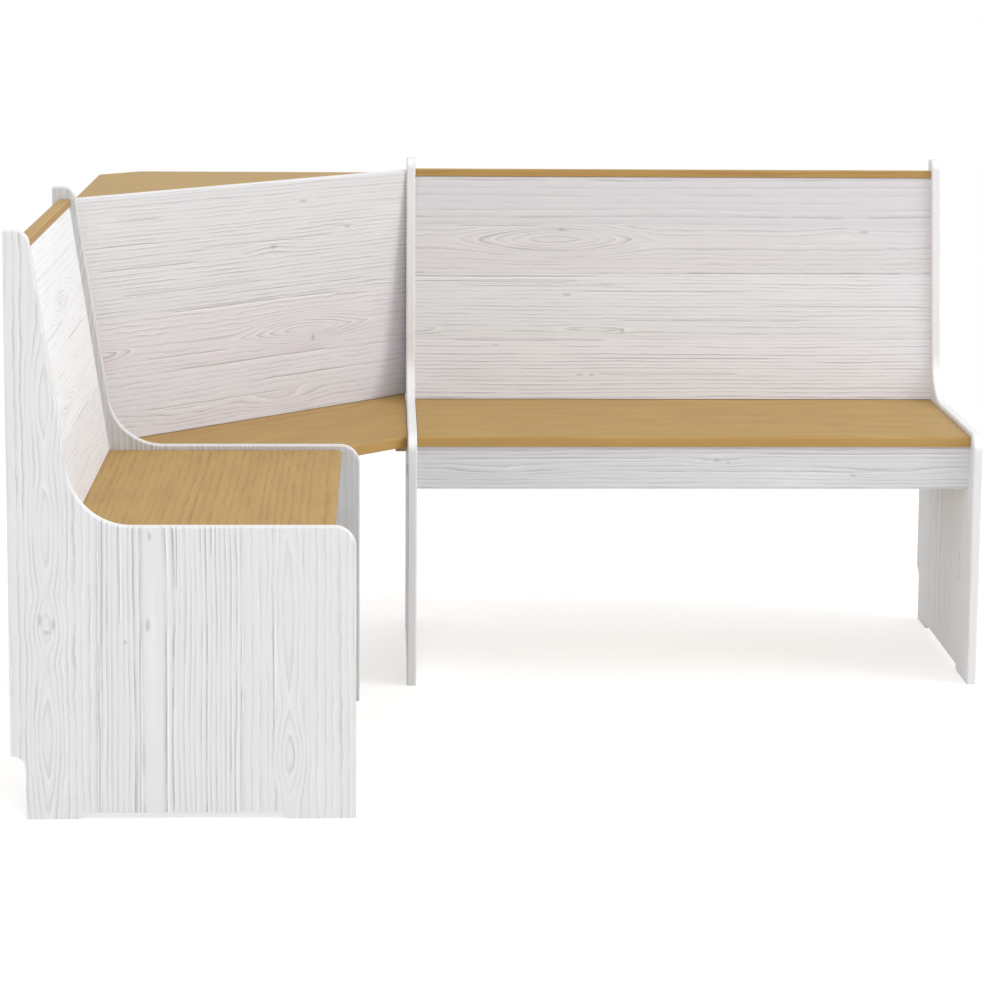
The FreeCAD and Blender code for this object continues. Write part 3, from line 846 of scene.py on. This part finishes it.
def add_screw(piece, length):
    """One screw about the upright line, its head's top at zero and its point below."""
    rings = [
        ring_of(piece, screw_head_radius - screw_head_arris, 0, screw_sides),
        ring_of(piece, screw_head_radius, -screw_head_arris, screw_sides),
        ring_of(piece, screw_shank_radius, -screw_head_height, screw_sides),
        ring_of(piece, screw_shank_radius, screw_tip_length - length, screw_sides),
        [piece.verts.new((0, 0, -length))],
    ]
    for upper, lower in zip(rings, rings[1:]):
        skin_between(piece, upper, lower)
    outline = recess_outline()
    mouth = [piece.verts.new((x, y, 0)) for x, y in outline]
    bottom = [piece.verts.new((x * recess_taper, y * recess_taper, -recess_depth)) for x, y in outline]
    skin_between(piece, bottom, mouth)
    piece.faces.new(bottom)
    rim_edges = ring_edges(piece, rings[0]) + ring_edges(piece, mouth)
    bmesh.ops.triangle_fill(piece, edges=rim_edges, use_beauty=True)
    return sum(rings, []) + mouth + bottom


sharp_edge_degrees = 32


def finish_group(name, piece, node, material):
    """Turns a group's drawn solids into one object that stands for a CAD node."""
    bmesh.ops.recalc_face_normals(piece, faces=piece.faces)
    mesh = bpy.data.meshes.new(name)
    piece.to_mesh(mesh)
    piece.free()
    mesh.shade_smooth()
    mesh.set_sharp_from_angle(angle=math.radians(sharp_edge_degrees))
    mesh.materials.append(material)
    group = bpy.data.objects.new(name, mesh)
    bpy.context.scene.collection.objects.link(group)
    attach(group, "root")
    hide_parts(node)


for node in (
    "seat_cleat_screws", "seat_screws", "backrest_cleat_screws", "backrest_screws",
    "corner_screws", "shelf_batten_screws",
):
    screws = bmesh.new()
    for corners in solids_of(node):
        middle = middle_of(corners)
        point = max(corners, key=lambda corner: (corner - middle).length)
        far = sorted(corners, key=lambda corner: -(corner - point).length)
        base = middle_of(far[:packed_screw_sides])
        stand(screws, add_screw(screws, metre * (base - point).length), base, base - point)
    finish_group("cross_" + node, screws, node, zinc)

# Bolt covers. Low domed caps of pale grey plastic, pressed over the bolts' heads on the corner
# side of the inner panels.

plastic = speckled_finish(
    "cap_finish", pale=(214, 214, 216), deep=(206, 206, 208), span=4.0,
    roughness=(0.36, 0.46), metallic=0.0)
cover_radius = 9.0
cover_rise = 2.2
cover_rim = 0.7
cover_rim_round = 0.3
cover_sides = 48
cover_dome_steps = 6


def add_cover(piece):
    """One cover about the upright line, with its base at zero: a thin rounded rim and a low dome."""
    profile = [(cover_radius, 0), (cover_radius, cover_rim - cover_rim_round)]
    for step in range(cover_dome_steps):
        share = 1 - step / cover_dome_steps
        dome = (cover_rise - cover_rim) * (1 - share ** 2)
        profile.append(((cover_radius - cover_rim_round) * share, cover_rim + dome))
    rings = [ring_of(piece, radius, height, cover_sides) for radius, height in profile]
    rings.append([piece.verts.new((0, 0, cover_rise))])
    for lower, upper in zip(rings, rings[1:]):
        skin_between(piece, lower, upper)
    piece.faces.new(rings[0])
    return sum(rings, [])


covers = bmesh.new()
for corners in solids_of("bolt_cover_caps"):
    low = Vector(min(corner[axis] for corner in corners) for axis in range(3))
    high = Vector(max(corner[axis] for corner in corners) for axis in range(3))
    base = (low + high) / 2
    if high.x - low.x < high.y - low.y:
        base.x = high.x
        outward = Vector((-1, 0, 0))
    else:
        base.y = low.y
        outward = Vector((0, 1, 0))
    stand(covers, add_cover(covers), base, outward)
finish_group("domed_bolt_covers", covers, "bolt_cover_caps", plastic)

# Studio. A pale floor that keeps the bench's shadow near it and is white further off, a white
# surround, and large soft lamps.

floor_half_side = 14.0
floor_colour = colour(238, 238, 238)
floor_roughness = 0.8
floor_glow = 0.4

# The floor turns white between these distances from the bench's middle, in metres. The surround
# lights the bench with less than the white that it shows.
white_floor_range = (1.5, 3.2)
surround_light = 0.78
white_light = 1.0
white = (1, 1, 1, 1)


def seen_rays(tree):
    """1 for rays from the camera, from glossy surfaces and through clear ones, else 0."""
    rays = tree.nodes.new("ShaderNodeLightPath")
    direct = Shade(tree, rays.outputs["Is Camera Ray"]) + Shade(tree, rays.outputs["Is Glossy Ray"])
    return (direct + Shade(tree, rays.outputs["Is Transmission Ray"])).step(0.0, 1.0)


floor_mesh = bpy.data.meshes.new("floor")
floor_sides = ((-1, -1), (1, -1), (1, 1), (-1, 1))
floor_corners = [(x * floor_half_side, y * floor_half_side, 0) for x, y in floor_sides]
floor_mesh.from_pydata(floor_corners, [], [(0, 1, 2, 3)])
floor = bpy.data.objects.new("floor", floor_mesh)
bpy.context.scene.collection.objects.link(floor)
floor_material, floor_tree, floor_shader = new_finish("floor_finish")
floor_shader.inputs["Base Color"].default_value = floor_colour
floor_shader.inputs["Roughness"].default_value = floor_roughness
seen = seen_rays(floor_tree)
lit_floor = Shade(floor_tree, floor_shader.outputs[0])
floor_point = Shade(floor_tree, floor_tree.nodes.new("ShaderNodeTexCoord").outputs["Object"])
far_off = floor_point.vector("DISTANCE", (0, 0, 0), output="Value").step(*white_floor_range)
glow = seen.node("ShaderNodeEmission", {}, {"Strength": floor_glow})
plain_white = seen.node("ShaderNodeEmission", {}, {"Strength": white_light})
near_floor = seen.node("ShaderNodeAddShader", {}, {0: lit_floor, 1: glow})
seen_floor = seen.node("ShaderNodeMixShader", {}, {0: far_off, 1: near_floor, 2: plain_white})
surface = seen.node("ShaderNodeMixShader", {}, {0: seen, 1: lit_floor, 2: seen_floor})
floor_tree.links.new(surface.socket, floor_tree.nodes["Material Output"].inputs["Surface"])
floor_mesh.materials.append(floor_material)

world = bpy.data.worlds.new("surround")
bpy.context.scene.world = world
world.use_nodes = True
background = world.node_tree.nodes["Background"]
background.inputs["Color"].default_value = white
strength = seen_rays(world.node_tree).between(surround_light, white_light)
world.node_tree.links.new(strength.socket, background.inputs["Strength"])

# Each lamp's place and size in metres, and its power in watts
Lamp = namedtuple("Lamp", "place size power")
lamps = {
    "right_lamp": Lamp((8.5, -2.8, 5.0), size=7.0, power=345.0),
    "left_lamp": Lamp((-6.0, -7.9, 1.2), size=5.0, power=150.0),
    "front_lamp": Lamp((0.6, -4.5, 3.2), size=1.5, power=20.0),
}
lit_point = Vector((0.0, 0.1, 0.5))
for name, lamp in lamps.items():
    light = bpy.data.lights.new(name, "AREA")
    light.shape = "DISK"
    light.size = lamp.size
    light.energy = lamp.power
    placed = bpy.data.objects.new(name, light)
    placed.visible_camera = False
    placed.location = lamp.place
    placed.rotation_euler = (lit_point - Vector(lamp.place)).to_track_quat("-Z", "Y").to_euler()
    bpy.context.scene.collection.objects.link(placed)

# Camera. It stands in front of the short seat, a little over the bench, and looks slightly right.
# Its turns are in radians, and its film and lens in millimetres.

camera_place = (-0.2411, -4.8316, 1.3317)
turn_right = 0.03704
tilt_down = 0.14557
roll_left = 0.00767
film_width = 36.0
lens_length = 109.29
lens_shift = -0.16

lens = bpy.data.cameras.new("camera")
lens.sensor_width = film_width
lens.lens = lens_length
lens.shift_y = lens_shift
camera = bpy.data.objects.new("camera", lens)
camera.location = camera_place
level_turn = Matrix.Rotation(-turn_right, 3, "Z") @ Matrix.Rotation(math.pi / 2 - tilt_down, 3, "X")
camera.rotation_euler = (level_turn @ Matrix.Rotation(roll_left, 3, "Z")).to_euler()
bpy.context.scene.collection.objects.link(camera)
bpy.context.scene.camera = camera
bpy.context.scene.view_settings.view_transform = "Standard"
